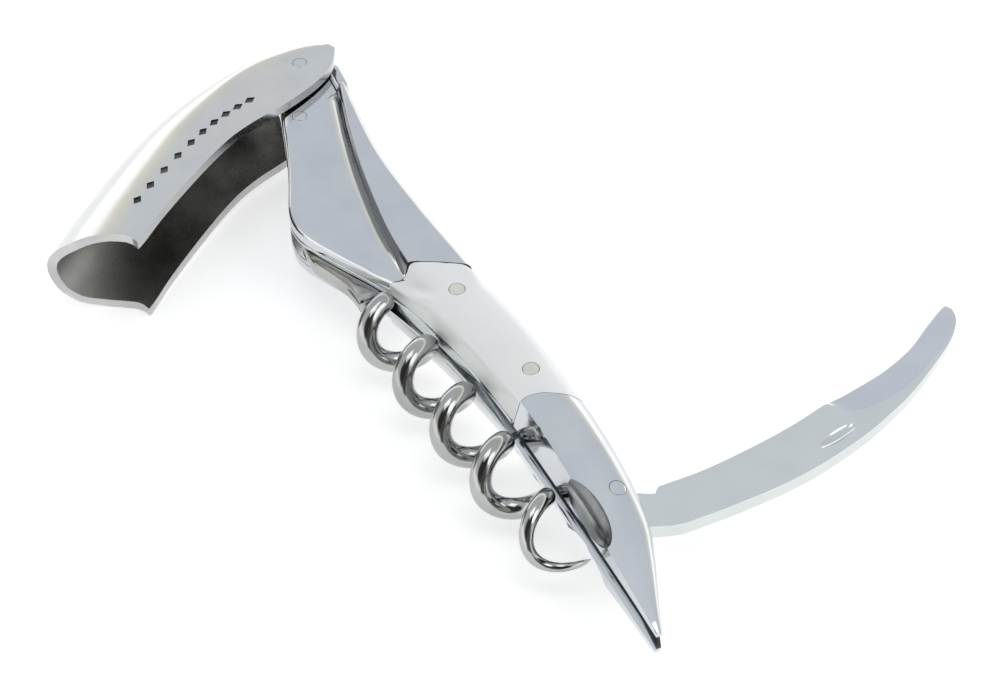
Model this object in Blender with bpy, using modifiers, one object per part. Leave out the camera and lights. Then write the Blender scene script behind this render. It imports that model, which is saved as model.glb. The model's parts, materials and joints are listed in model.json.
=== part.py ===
"""Waiter's corkscrew: a folding bar knife with a bottle lever, a wire worm and a foil blade.

The knife lies on its side. In the part's frame +X runs from the lever hinge to the nose,
+Y is the back of the handle, where the blade folds in, -Y is its belly, where the worm and
the lever fold in, and +Z is up, along all three hinge pins.

Shapes are drawn in plan millimetres: the lever hinge is the plan's (0, 0), and height 0 is
the middle of the handle's thickness. The frame empty carries them into the part's frame.
"""
import math

import bmesh
import bpy
import numpy as np
from mathutils import Matrix, Vector

OBJECT_NAME = "waiters_corkscrew"
MM = 0.001

# Driving dimensions, in millimetres and degrees.
PLAN_CENTRE = (55.3, 8.25)      # middle of the part's box, in plan
MID_HEIGHT = 7.3                # from the resting plane to the middle of the thickness

SPRING_THICKNESS = 2.3          # springs, worm tang and lever cam
BLADE_THICKNESS = 2.2
LINER_THICKNESS = 0.8
SIDE_PLAY = 0.10                # between liners and what lies between them
SEAM = 0.05                     # between pieces that are fixed to each other
CROWN = 6.5                     # half thickness at the crown of the scales
RECESS = 4.0                    # half thickness at the field that the lever closes over

LEVER_SHEET = 1.25
LEVER_HALF_AT_HINGE = 5.6
LEVER_HALF_AT_LIP = 7.3

PIN_RADIUS = 1.1
PIN_PLAY = 0.06
LEVER_PIN = (0.0, 0.0)
BOLSTER_PIN = (9.8, -4.0)
SPRING_PIN = (28.5, 0.4)
WORM_PIN = (31.0, -9.0)
SCALE_PINS = {"rear": (56.0, 1.0), "front": (73.6, 3.6)}
BLADE_PIN = (95.3, 5.1)

WORM_PIN_HALF = 3.2             # this pin ends inside the bolsters
WIRE_RADIUS = 1.45
WORM_RADIUS = 3.25              # from the worm's axis to the middle of the wire
WORM_PITCH = 10.1
WORM_TURNS = 4.95
WORM_TOP = (59.0, -8.0)         # a point on the worm's axis, under a crest of the helix
WORM_TILT = 5.5

# Heights that follow from the driving dimensions.
CORE_HALF = SPRING_THICKNESS / 2
LINER_INNER = CORE_HALF + SIDE_PLAY
LINER_OUTER = LINER_INNER + LINER_THICKNESS
PLATE_INNER = LINER_OUTER + SEAM

COLOURS = {
    "polished_steel": ((0.62, 0.66, 0.70), 0.12, 1.0),
    "sheet_steel": ((0.66, 0.68, 0.69), 0.22, 1.0),
    "worm_steel": ((0.48, 0.50, 0.51), 0.18, 1.0),
    "blade_steel": ((0.62, 0.66, 0.68), 0.30, 1.0),
    "nickel_silver": ((0.70, 0.69, 0.62), 0.35, 1.0),
    "white_resin": ((0.80, 0.81, 0.80), 0.30, 0.0),
}

SIDES = (("top", 1), ("bottom", -1))


# ---------------------------------------------------------------- scene and curves

def clear_scene():
    for item in list(bpy.data.objects):
        bpy.data.objects.remove(item, do_unlink=True)


def collection(name):
    made = bpy.data.collections.new(name)
    bpy.context.scene.collection.children.link(made)
    return made


def material(slot):
    if slot in bpy.data.materials:
        return bpy.data.materials[slot]
    colour, roughness, metallic = COLOURS[slot]
    made = bpy.data.materials.new(slot)
    made.use_nodes = True
    shader = made.node_tree.nodes["Principled BSDF"]
    shader.inputs["Base Color"].default_value = (*colour, 1.0)
    shader.inputs["Roughness"].default_value = roughness
    shader.inputs["Metallic"].default_value = metallic
    return made


def smooth(points, steps=4):
    """Return points along a Catmull-Rom curve through the given points."""
    control = np.array(points, dtype=float)
    padded = np.vstack([2 * control[0] - control[1], control, 2 * control[-1] - control[-2]])
    path = []
    for index in range(len(control) - 1):
        before, start, end, after = padded[index:index + 4]
        for step in range(steps):
            t = step / steps
            path.append(0.5 * (2 * start + (end - before) * t
                               + (2 * before - 5 * start + 4 * end - after) * t * t
                               + (3 * start - before - 3 * end + after) * t ** 3))
    path.append(control[-1])
    return [tuple(point) for point in path]


def arc(centre, radius, start, end, count):
    """Return points on an arc, in degrees, both ends included."""
    angles = np.radians(np.linspace(start, end, count))
    return [(centre[0] + radius * math.cos(a), centre[1] + radius * math.sin(a)) for a in angles]


def height_at(path, x):
    """Return the y of a path that runs along X, at one x."""
    xs, ys = zip(*sorted(path))
    return float(np.interp(x, xs, ys))


# ---------------------------------------------------------------- object makers

def finish(obj, slot, pivot, parent, shade=True):
    """Place a piece at its pivot under its parent, give it its material and shade it."""
    obj.parent = parent
    obj.location = (pivot[0] * MM, pivot[1] * MM, 0.0)
    if obj.type == "MESH":
        obj.data.materials.clear()
        obj.data.materials.append(material(slot))
        if shade:
            obj.data.shade_smooth()
            obj.data.set_sharp_from_angle(angle=math.radians(35))
    return obj


def mesh_object(name, mesh, where):
    obj = bpy.data.objects.new(name, mesh)
    where.objects.link(obj)
    return obj


def weld(shape, mesh):
    """Weld a bmesh, turn its faces outward and store it in the mesh."""
    bmesh.ops.remove_doubles(shape, verts=shape.verts, dist=0.002 * MM)
    bmesh.ops.recalc_face_normals(shape, faces=shape.faces)
    if shape.calc_volume(signed=True) < 0:
        bmesh.ops.reverse_faces(shape, faces=shape.faces)
    shape.to_mesh(mesh)
    shape.free()
    return mesh


def curve_mesh(name, curve):
    """Return the welded mesh that a curve makes."""
    guide = bpy.data.objects.new(name, curve)
    bpy.context.scene.collection.objects.link(guide)
    bpy.context.view_layer.update()
    evaluated = guide.evaluated_get(bpy.context.evaluated_depsgraph_get())
    mesh = bpy.data.meshes.new_from_object(evaluated)
    bpy.data.objects.remove(guide, do_unlink=True)
    shape = bmesh.new()
    shape.from_mesh(mesh)
    return weld(shape, mesh)


def plate_mesh(name, outline, low, high, pivot=(0.0, 0.0)):
    """Return a flat plate's mesh: a filled 2D curve, extruded from height low to height high."""
    curve = bpy.data.curves.new(name, "CURVE")
    curve.dimensions = "2D"
    curve.fill_mode = "BOTH"
    curve.extrude = (high - low) / 2 * MM
    spline = curve.splines.new("POLY")
    spline.points.add(len(outline) - 1)
    for point, (x, y) in zip(spline.points, outline):
        point.co = ((x - pivot[0]) * MM, (y - pivot[1]) * MM, 0.0, 1.0)
    spline.use_cyclic_u = True
    mesh = curve_mesh(name, curve)
    mesh.transform(Matrix.Translation((0.0, 0.0, (low + high) / 2 * MM)))
    return mesh


def loft_mesh(name, rings, pivot=(0.0, 0.0), channel=False):
    """Return a closed mesh skinned over rings of equally many points, with capped ends.

    A channel's rings run out along one face and back along the other, so its ends are
    capped by a strip between the two.
    """
    shape = bmesh.new()
    rows = []
    for ring in rings:
        rows.append([shape.verts.new(((x - pivot[0]) * MM, (y - pivot[1]) * MM, z * MM))
                     for x, y, z in ring])
    count = len(rows[0])
    for row, following in zip(rows, rows[1:]):
        for index in range(count):
            after = (index + 1) % count
            shape.faces.new((row[index], row[after], following[after], following[index]))
    for row in (rows[0][::-1], rows[-1]):
        if channel:
            for index in range(count // 2 - 1):
                far = count - 1 - index
                shape.faces.new((row[index], row[index + 1], row[far - 1], row[far]))
        else:
            shape.faces.new(row)
    bmesh.ops.triangulate(shape, faces=[face for face in shape.faces if len(face.verts) > 4])
    return weld(shape, bpy.data.meshes.new(name))


def cylinder_mesh(name, radius, low, high, segments=20):
    shape = bmesh.new()
    bmesh.ops.create_cone(shape, cap_ends=True, segments=segments, radius1=radius * MM,
                          radius2=radius * MM, depth=(high - low) * MM)
    bmesh.ops.translate(shape, verts=shape.verts, vec=(0, 0, (low + high) / 2 * MM))
    return weld(shape, bpy.data.meshes.new(name))


def ball_mesh(name, radii):
    """Return an ellipsoid's mesh, with its three radii in millimetres."""
    shape = bmesh.new()
    bmesh.ops.create_uvsphere(shape, u_segments=20, v_segments=12, radius=1.0)
    bmesh.ops.scale(shape, verts=shape.verts, vec=Vector(radii) * MM)
    return weld(shape, bpy.data.meshes.new(name))


def boolean(target, tool, operation):
    change = target.modifiers.new(f"{operation.lower()} {tool.name}", "BOOLEAN")
    change.operation = operation
    change.object = tool
    change.solver = "EXACT"


def as_tool(obj, parent, pivot=(0.0, 0.0), height=0.0):
    """Make an object a hidden cutter or guide."""
    obj.parent = parent
    obj.location = (pivot[0] * MM, pivot[1] * MM, height * MM)
    obj.hide_render = True
    obj.display_type = "WIRE"
    return obj


def round_edges(obj, width, segments=2, angle=40):
    change = obj.modifiers.new("rounded edges", "BEVEL")
    change.width = width * MM
    change.segments = segments
    change.limit_method = "ANGLE"
    change.angle_limit = math.radians(angle)


# ---------------------------------------------------------------- handle outlines

BELLY = smooth([(3.0, -4.4), (6.5, -5.8), (16.0, -8.6), (22.6, -10.8), (28.0, -12.9),
                (31.4, -13.5), (34.8, -12.8), (40.5, -10.0), (44.6, -7.8), (48.9, -6.0),
                (57.9, -3.4), (66.1, -1.9), (74.1, -1.1), (84.0, -0.6), (100.0, -0.2),
                (115.3, 0.0)])
BACK = smooth([(3.0, 4.2), (10.3, 4.0), (24.6, 2.8), (38.0, 3.4), (47.0, 4.4), (53.0, 5.3),
               (61.5, 6.9), (72.5, 8.1), (80.0, 8.4), (87.0, 8.4), (93.9, 8.0), (100.2, 7.0),
               (104.0, 5.7), (108.0, 4.0), (111.5, 2.4), (115.3, 0.8)])
HINGE_END = arc(LEVER_PIN, 4.7, 118, 242, 9)
STEP = smooth([(10.0, 2.7), (18.5, 0.7), (27.5, -1.1), (39.7, -2.7), (48.2, -2.9)])
# The seam where the lever bolster meets the scale, from the belly to the back.
REAR_SEAM = smooth([(49.4, -7.2), (48.6, -6.0), (48.9, -4.4), (48.4, -2.6), (49.4, -0.4),
                    (51.2, 2.8), (54.2, 7.0)], 3)
# The seam where the scale meets the nose bolster: a tongue with rounded corners.
FRONT_SEAM = smooth([(78.0, -2.4), (77.6, -0.3), (77.4, 1.2), (78.0, 3.0), (78.9, 4.6),
                     (79.9, 6.4), (81.2, 8.0), (83.6, 9.6)], 3)


def stretch(path, start, end):
    """Return the part of a path between two x values, with its ends on them."""
    inside = [point for point in path if start < point[0] < end]
    return ([(start, height_at(path, start))] + inside + [(end, height_at(path, end))])


def crown_height(x):
    """Return the handle's half thickness at x: level over the scales, thinning to the nose."""
    return float(np.interp(x, (0, 78, 86, 93, 100, 108, 113, 115.3),
                           (CROWN, CROWN, 6.15, 5.5, 4.5, 3.3, 2.75, 2.5)))


def blend(low, high, share):
    """Return two profiles mixed point by point."""
    share = min(1.0, max(0.0, share))
    return [(a + (c - a) * share, b + (d - b) * share) for (a, b), (c, d) in zip(low, high)]


def crowned_solid(name, places, profile_at, side, where):
    """Return one side of the handle at the given places along it, crowned across its width.

    A profile lists (share of the width, share of the height) from the belly to the back.
    """
    rings = []
    for x in places:
        low, high = height_at(BELLY, x), height_at(BACK, x)
        rise = crown_height(x) - PLATE_INNER
        rings.append([(x, low + (high - low) * across, side * (PLATE_INNER + rise * up))
                      for across, up in profile_at(x)])
    return mesh_object(name, loft_mesh(name, rings), where)


# The scale starts flush with the bolster's recessed field and lobe, then takes its own crown.
SCALE_START = ((0.0, 0.0), (0.0, 0.35), (0.03, 0.42), (0.14, 0.44), (0.22, 0.50), (0.31, 0.92),
               (0.60, 1.0), (0.84, 0.94), (0.96, 0.76), (1.0, 0.45), (1.0, 0.0))
SCALE_PROFILE = ((0.0, 0.0), (0.0, 0.35), (0.03, 0.62), (0.10, 0.82), (0.22, 0.95), (0.38, 1.0),
                 (0.70, 1.0), (0.86, 0.93), (0.96, 0.76), (1.0, 0.45), (1.0, 0.0))
NOSE_PROFILE = ((0.0, 0.0), (0.0, 0.30), (0.06, 0.70), (0.20, 0.84), (0.38, 0.96), (0.52, 1.0),
                (0.68, 0.98), (0.84, 0.86), (0.95, 0.62), (1.0, 0.30), (1.0, 0.0))


# ---------------------------------------------------------------- handle pieces

def make_liners(parts, tools, frame):
    outline = HINGE_END + BELLY + BACK[::-1]
    for word, side in SIDES:
        heights = sorted((side * LINER_INNER, side * LINER_OUTER))
        name = f"{word}_liner"
        liner = mesh_object(name, plate_mesh(name, outline, *heights), parts)
        finish(liner, "polished_steel", (0.0, 0.0), frame)
        for tool in tools["through_handle"]:
            boolean(liner, tool, "DIFFERENCE")


def make_lever_bolsters(parts, cutters, tools, frame):
    """Each bolster is a recessed field with a raised lobe along its back."""
    seam = [(x, y) for x, y in REAR_SEAM if height_at(BELLY, x) < y < height_at(BACK, x)]
    back = stretch(BACK, 3.0, seam[-1][0])[::-1]
    field = HINGE_END + stretch(BELLY, 3.0, seam[0][0]) + seam + back
    lobe = STEP + [point for point in seam if point[1] > STEP[-1][1] + 0.2]
    lobe += [point for point in back if point[0] > STEP[0][0] - 0.2]
    for word, side in SIDES:
        name = f"{word}_lever_bolster"
        heights = sorted((side * PLATE_INNER, side * RECESS))
        bolster = mesh_object(name, plate_mesh(name, field, *heights), parts)
        finish(bolster, "polished_steel", (0.0, 0.0), frame)
        heights = sorted((side * (PLATE_INNER + 0.4), side * CROWN))
        tool_name = f"{word} raised lobe"
        raised = mesh_object(tool_name, plate_mesh(tool_name, lobe, *heights), cutters)
        as_tool(raised, frame)
        boolean(bolster, raised, "UNION")
        for tool in tools["through_rear"]:
            boolean(bolster, tool, "DIFFERENCE")


def make_scales(parts, cutters, tools, frame):
    outline = [(x + SEAM, y) for x, y in REAR_SEAM[::-1]] + [(x - SEAM, y) for x, y in FRONT_SEAM]
    for word, side in SIDES:
        name = f"{word}_scale"
        scale = crowned_solid(name, (*np.arange(47.5, 58.0, 1.5), *np.linspace(58.0, 84.0, 10)),
                              lambda x: blend(SCALE_START, SCALE_PROFILE, (x - 50.0) / 6.0),
                              side, parts)
        finish(scale, "white_resin", (0.0, 0.0), frame)
        tool_name = f"{word} scale outline"
        heights = sorted((side * (PLATE_INNER - 1.0), side * (CROWN + 1.0)))
        guide = mesh_object(tool_name, plate_mesh(tool_name, outline, *heights), cutters)
        as_tool(guide, frame)
        boolean(scale, guide, "INTERSECT")
        for tool in tools["through_scale"]:
            boolean(scale, tool, "DIFFERENCE")


def make_nose_bolsters(parts, cutters, tools, frame):
    outline = FRONT_SEAM[::-1] + [(90.0, -3.0), (118.0, -3.0), (118.0, 11.0)]
    for word, side in SIDES:
        name = f"{word}_nose_bolster"
        nose = crowned_solid(name, np.linspace(75.5, 115.3, 18), lambda x: NOSE_PROFILE,
                             side, parts)
        finish(nose, "polished_steel", (0.0, 0.0), frame)
        tool_name = f"{word} nose outline"
        heights = sorted((side * (PLATE_INNER - 1.0), side * (CROWN + 1.0)))
        guide = mesh_object(tool_name, plate_mesh(tool_name, outline, *heights), cutters)
        as_tool(guide, frame)
        boolean(nose, guide, "INTERSECT")
        notch = mesh_object(f"{word} thumb notch", ball_mesh("thumb notch", (1.5, 1.3, 1.6)), cutters)
        as_tool(notch, frame, (82.8, -0.6), side * 5.0)
        boolean(nose, notch, "DIFFERENCE")
        scallop = mesh_object(f"{word} scallop", ball_mesh("scallop", (6.2, 2.7, 3.5)), cutters)
        as_tool(scallop, frame, (96.6, -0.7), side * 4.9)
        boolean(nose, scallop, "DIFFERENCE")
        for tool in tools["through_nose"]:
            boolean(nose, tool, "DIFFERENCE")


def make_springs(parts, tools, frame):
    """The centre spring works the worm and the blade, the lever spring works the lever."""
    back = smooth([(27.2, -3.3), (33.0, -3.5), (37.0, -3.1), (40.0, -1.5), (47.0, 1.7),
                   (57.0, 3.6), (70.0, 4.7), (80.0, 4.9), (87.0, 4.6), (90.4, 4.5)])
    belly = smooth([(90.4, 1.6), (84.0, 0.9), (74.0, -0.1), (66.0, -1.2), (58.0, -2.7),
                    (50.0, -4.9), (44.0, -5.3), (33.0, -5.2), (27.2, -5.3)])
    centre = mesh_object("centre_spring",
                         plate_mesh("centre_spring", back + belly, -CORE_HALF, CORE_HALF), parts)
    finish(centre, "polished_steel", (0.0, 0.0), frame)
    for tool in tools["through_scale"]:
        boolean(centre, tool, "DIFFERENCE")

    under = arc(LEVER_PIN, 4.45, 112, 40, 6) + smooth([(6.0, 1.4), (14.0, 0.2), (24.0, -1.6),
                                                       (31.8, -1.9)])
    over = [(32.4, -1.0)] + stretch(BACK, 3.0, 32.4)[::-1] + [(-1.6, 4.25 + 0.2)]
    arm = mesh_object("lever_spring",
                      plate_mesh("lever_spring", under + over, -CORE_HALF, CORE_HALF), parts)
    finish(arm, "polished_steel", (0.0, 0.0), frame)
    boolean(arm, tools["spring_hole"], "DIFFERENCE")

    head_outline = [(-1.5, 4.6), (5.6, 4.35), (6.0, 5.0), (4.4, 6.1), (-0.4, 6.4), (-1.5, 5.6)]
    head = mesh_object("spring_head", plate_mesh("spring_head", head_outline, -2.9, 2.9), parts)
    finish(head, "polished_steel", (0.0, 0.0), frame)
    round_edges(head, 0.3)


def make_pins(parts, frame):
    """The fixed pins, each ground flush with the faces that it comes out of."""
    fixed = {
        "bolster_pin": (BOLSTER_PIN, PIN_RADIUS, RECESS),
        "spring_pin": (SPRING_PIN, PIN_RADIUS, LINER_OUTER),
        "worm_pivot_pin": (WORM_PIN, PIN_RADIUS, WORM_PIN_HALF),
        "blade_pivot_pin": (BLADE_PIN, PIN_RADIUS, 5.1),
    }
    for place, centre in SCALE_PINS.items():
        fixed[f"{place}_scale_pin"] = (centre, PIN_RADIUS, CROWN)
    for name, (centre, radius, half) in fixed.items():
        slot = "nickel_silver" if "scale" in name else "polished_steel"
        pin = mesh_object(name, cylinder_mesh(name, radius, -half, half), parts)
        finish(pin, slot, centre, frame)


# ---------------------------------------------------------------- lever

# Stations along the lever: the lip that faces the handle, the spine, and the spine's rounding.
LEVER_STATIONS = (
    ((-1.2, 6.2), (-2.6, 5.4), 0.6),
    ((2.3, 4.4), (-4.5, 1.8), 1.8),
    ((5.0, 1.2), (-5.0, -2.4), 2.4),
    ((7.2, -2.8), (-5.0, -6.0), 3.0),
    ((9.1, -7.2), (-4.6, -9.8), 4.0),
    ((10.6, -11.4), (-3.4, -14.6), 5.5),
    ((12.6, -15.5), (-1.4, -20.0), 6.8),
    ((15.6, -19.8), (1.8, -25.6), 7.6),
    ((19.8, -25.0), (6.9, -32.0), 8.0),
    ((24.4, -30.3), (12.4, -38.0), 8.2),
    ((28.0, -34.0), (17.4, -43.2), 8.2),
    ((29.3, -35.5), (21.5, -47.2), 8.2),
)
LEVER_LENGTH = 46.0


def lever_half(lip):
    """Return the lever's half width at a lip point: it flares from the hinge to its end."""
    share = min(1.0, math.hypot(*lip) / LEVER_LENGTH)
    return LEVER_HALF_AT_HINGE + (LEVER_HALF_AT_LIP - LEVER_HALF_AT_HINGE) * share


def lever_section(lip, spine, rounding):
    """Return a closed U section: down the outside from the upper lip, back up the inside."""
    lip, spine = Vector(lip), Vector(spine)
    depth = (spine - lip).length
    along = (spine - lip).normalized()
    half = lever_half(lip)
    loops = []
    for inset in (0.0, LEVER_SHEET):
        reach, width = depth - inset, half - inset
        bend = max(rounding - inset * 0.6, 0.4)
        bend = min(bend, reach * 0.8)
        side = [(0.0, width), ((reach - bend) * 0.5, width)]
        for angle in np.radians((0, 22.5, 45, 67.5)):
            side.append((reach - bend + bend * math.sin(angle), width * math.cos(angle)))
        loop = side + [(reach, 0.0)] + [(d, -z) for d, z in reversed(side)]
        loops.append(loop)
    section = loops[0] + loops[1][::-1]
    return [(lip.x + along.x * d, lip.y + along.y * d, z) for d, z in section]


def make_lever(parts, cutters, axis):
    rings = [lever_section(*station) for station in resample_stations(LEVER_STATIONS, 2)]
    shell = mesh_object("lever_shell", loft_mesh("lever_shell", rings, channel=True), parts)
    finish(shell, "sheet_steel", LEVER_PIN, axis)

    clear_half = LEVER_HALF_AT_HINGE - LEVER_SHEET - 0.15
    hinge_gap = arc(LEVER_PIN, 10.2, 60, 300, 25) + [(14.0, -9.0), (14.0, 9.0)]
    window = [(-4.2, -13.4), (2.6, -12.6), (6.4, -20.4), (0.6, -24.4), (-3.0, -26.0)]
    for tool_name, outline in (("hinge clearance", hinge_gap), ("cap lifter window", window)):
        gap = mesh_object(tool_name,
                          plate_mesh(tool_name, outline, -clear_half, clear_half), cutters)
        as_tool(gap, axis)
        boolean(shell, gap, "DIFFERENCE")
    hole = mesh_object("lever pin hole", cylinder_mesh("hole", PIN_RADIUS + SEAM, -9, 9), cutters)
    as_tool(hole, axis)
    boolean(shell, hole, "DIFFERENCE")

    cam_outline = arc(LEVER_PIN, 4.1, -40, 205, 22)
    cam = mesh_object("lever_cam", plate_mesh("lever_cam", cam_outline, -CORE_HALF, CORE_HALF), parts)
    finish(cam, "polished_steel", LEVER_PIN, axis)
    boolean(cam, hole, "DIFFERENCE")

    half = LEVER_HALF_AT_HINGE
    pin = mesh_object("lever_pivot_pin",
                      cylinder_mesh("lever_pivot_pin", PIN_RADIUS, -half, half), parts)
    finish(pin, "polished_steel", LEVER_PIN, axis)


def resample_stations(stations, steps):
    """Return more stations, smoothly between the given ones."""
    lips = smooth([station[0] for station in stations], steps)
    spines = smooth([station[1] for station in stations], steps)
    bends = np.interp(np.arange(len(lips)) / steps, range(len(stations)),
                      [station[2] for station in stations])
    return list(zip(lips, spines, bends))


# ---------------------------------------------------------------- worm

def worm_path():
    """Return the wire's centre line and radii: a neck out of the tang, then the helix."""
    spots = [((-15.5, 0.0, 0.0), 1.05), ((-11.6, 0.0, 0.0), 1.05), ((-10.3, 0.1, 0.6), 1.3)]
    first, last = -0.80, WORM_TURNS - 1.0
    for turn in np.linspace(first, last, int((last - first) * 16) + 1):
        radius = WORM_RADIUS * (1.0 - 0.26 * max(0.0, (turn - 1.4) / 2.55))
        angle = 2 * math.pi * turn
        centre = (WORM_PITCH * turn, radius * math.cos(angle), radius * math.sin(angle))
        share = min(1.0, (last - turn) / 1.6)
        spots.append((centre, WIRE_RADIUS * (0.12 + 0.88 * share ** 0.7)))
    tilt = math.radians(WORM_TILT)
    path = []
    for (along, across, height), radius in spots:
        x = WORM_TOP[0] + along * math.cos(tilt) - across * math.sin(tilt)
        y = WORM_TOP[1] + along * math.sin(tilt) + across * math.cos(tilt)
        path.append(((x, y, height), radius))
    return path


def make_worm(parts, cutters, axis):
    path = worm_path()
    curve = bpy.data.curves.new("worm wire", "CURVE")
    curve.dimensions = "3D"
    curve.bevel_depth = MM
    curve.bevel_resolution = 2
    curve.use_fill_caps = True
    spline = curve.splines.new("POLY")
    spline.points.add(len(path) - 1)
    for point, ((x, y, z), radius) in zip(spline.points, path):
        point.co = ((x - WORM_PIN[0]) * MM, (y - WORM_PIN[1]) * MM, z * MM, 1.0)
        point.radius = radius
    wire = mesh_object("worm", curve_mesh("worm", curve), parts)
    finish(wire, "worm_steel", WORM_PIN, axis)

    tang_outline = (arc(WORM_PIN, 3.3, 80, 250, 12)
                    + smooth([(33.0, -12.9), (37.0, -12.9), (41.0, -11.4), (44.5, -10.2),
                              (47.4, -10.0)], 3)
                    + smooth([(47.4, -7.0), (42.0, -6.1), (36.0, -5.7), (31.6, -5.7)], 3))
    tang = mesh_object("worm tang", plate_mesh("worm tang", tang_outline, -CORE_HALF, CORE_HALF,
                                               WORM_PIN), cutters)
    as_tool(tang, axis, WORM_PIN)
    boolean(wire, tang, "UNION")
    hole = mesh_object("worm pin hole",
                       cylinder_mesh("hole", PIN_RADIUS + PIN_PLAY, -9, 9), cutters)
    as_tool(hole, axis, WORM_PIN)
    boolean(wire, hole, "DIFFERENCE")


# ---------------------------------------------------------------- blade

# Stations from the tang to the tip, from the blade pin: edge, spine, half thickness at each.
BLADE_STATIONS = (
    ((0.2, 1.5), (3.0, 1.0), 0.98, 0.98),
    ((0.0, 3.8), (5.5, 3.4), 1.0, 1.0),
    ((0.3, 5.1), (5.9, 5.6), 1.0, 1.0),
    ((-0.3, 5.8), (5.95, 6.4), 1.0, 1.0),
    ((-0.6, 13.0), (6.0, 14.0), 0.95, 1.0),
    ((-1.3, 20.5), (5.7, 21.5), 0.90, 1.0),
    ((-2.3, 27.0), (4.8, 28.0), 0.85, 1.0),
    ((-3.7, 33.3), (3.4, 34.0), 0.75, 0.97),
    ((-4.5, 37.5), (1.8, 38.8), 0.16, 0.92),
    ((-5.6, 43.2), (-0.3, 44.0), 0.13, 0.85),
    ((-7.6, 48.8), (-3.4, 49.8), 0.12, 0.75),
    ((-10.0, 53.3), (-6.4, 54.0), 0.12, 0.60),
    ((-12.4, 57.0), (-9.6, 57.4), 0.12, 0.42),
    ((-13.0, 58.2), (-11.6, 58.6), 0.12, 0.25),
)


def make_blade(parts, cutters, axis):
    rings = []
    scale = BLADE_THICKNESS / 2
    for edge, spine, thin, thick in BLADE_STATIONS:
        ring = [(*edge, thin * scale), (*spine, thick * scale),
                (*spine, -thick * scale), (*edge, -thin * scale)]
        rings.append(ring)
    blade = mesh_object("blade", loft_mesh("blade", rings), parts)
    finish(blade, "blade_steel", BLADE_PIN, axis)
    heel_outline = (arc((0.0, 0.0), 4.1, 195, 385, 20)
                    + [(5.0, 3.6), (5.6, 5.0), (0.4, 5.0), (0.1, 3.8), (-1.5, 2.9), (-3.1, 1.4)])
    heel = mesh_object("blade heel",
                       plate_mesh("blade heel", heel_outline, -scale, scale), cutters)
    as_tool(heel, axis, BLADE_PIN)
    boolean(blade, heel, "UNION")
    hole = mesh_object("blade pin hole",
                       cylinder_mesh("hole", PIN_RADIUS + PIN_PLAY, -9, 9), cutters)
    as_tool(hole, axis, BLADE_PIN)
    boolean(blade, hole, "DIFFERENCE")


# ---------------------------------------------------------------- assembly

def empty(name, where, location, parent=None):
    made = bpy.data.objects.new(name, None)
    where.objects.link(made)
    made.location = location
    made.parent = parent
    return made


def hole_tool(name, centre, radius, half, cutters, frame):
    tool = mesh_object(name, cylinder_mesh(name, radius, -half, half), cutters)
    return as_tool(tool, frame, centre)


def build():
    clear_scene()
    parts = collection(OBJECT_NAME)
    cutters = collection("cutters")
    frame = empty("frame", parts, (-PLAN_CENTRE[0] * MM, -PLAN_CENTRE[1] * MM, MID_HEIGHT * MM))

    snug, loose = PIN_RADIUS + SEAM, PIN_RADIUS + PIN_PLAY
    scale_holes = [hole_tool(f"{place} scale hole", centre, snug, 9, cutters, frame)
                   for place, centre in SCALE_PINS.items()]
    lever_hole = hole_tool("lever hole", LEVER_PIN, loose, 9, cutters, frame)
    bolster_hole = hole_tool("bolster hole", BOLSTER_PIN, snug, 9, cutters, frame)
    worm_hole = hole_tool("worm hole", WORM_PIN, snug, WORM_PIN_HALF + SEAM, cutters, frame)
    blade_hole = hole_tool("blade hole", BLADE_PIN, snug, 9, cutters, frame)
    spring_hole = hole_tool("spring hole", SPRING_PIN, snug, LINER_OUTER + 0.02, cutters, frame)
    tools = {
        "through_handle": scale_holes + [lever_hole, bolster_hole, worm_hole, blade_hole,
                                         spring_hole],
        "through_rear": [lever_hole, bolster_hole, worm_hole],
        "through_scale": scale_holes,
        "through_nose": [blade_hole],
        "spring_hole": spring_hole,
    }

    make_liners(parts, tools, frame)
    make_lever_bolsters(parts, cutters, tools, frame)
    make_scales(parts, cutters, tools, frame)
    make_nose_bolsters(parts, cutters, tools, frame)
    make_springs(parts, tools, frame)
    make_pins(parts, frame)
    make_lever(parts, cutters, frame)
    make_worm(parts, cutters, frame)
    make_blade(parts, cutters, frame)


build()
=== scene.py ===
"""Looks for the waiter's corkscrew: finer pieces, materials, floor, light and camera.

Shapes are drawn in plan millimetres, as the CAD is: the lever hinge is the plan's (0, 0),
+X runs to the nose, +Y is the back, and height 0 is the middle of the thickness.
"""
import json
import math

import bmesh
import bpy
import numpy as np
from mathutils import Matrix, Vector
from mathutils.bvhtree import BVHTree

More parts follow.
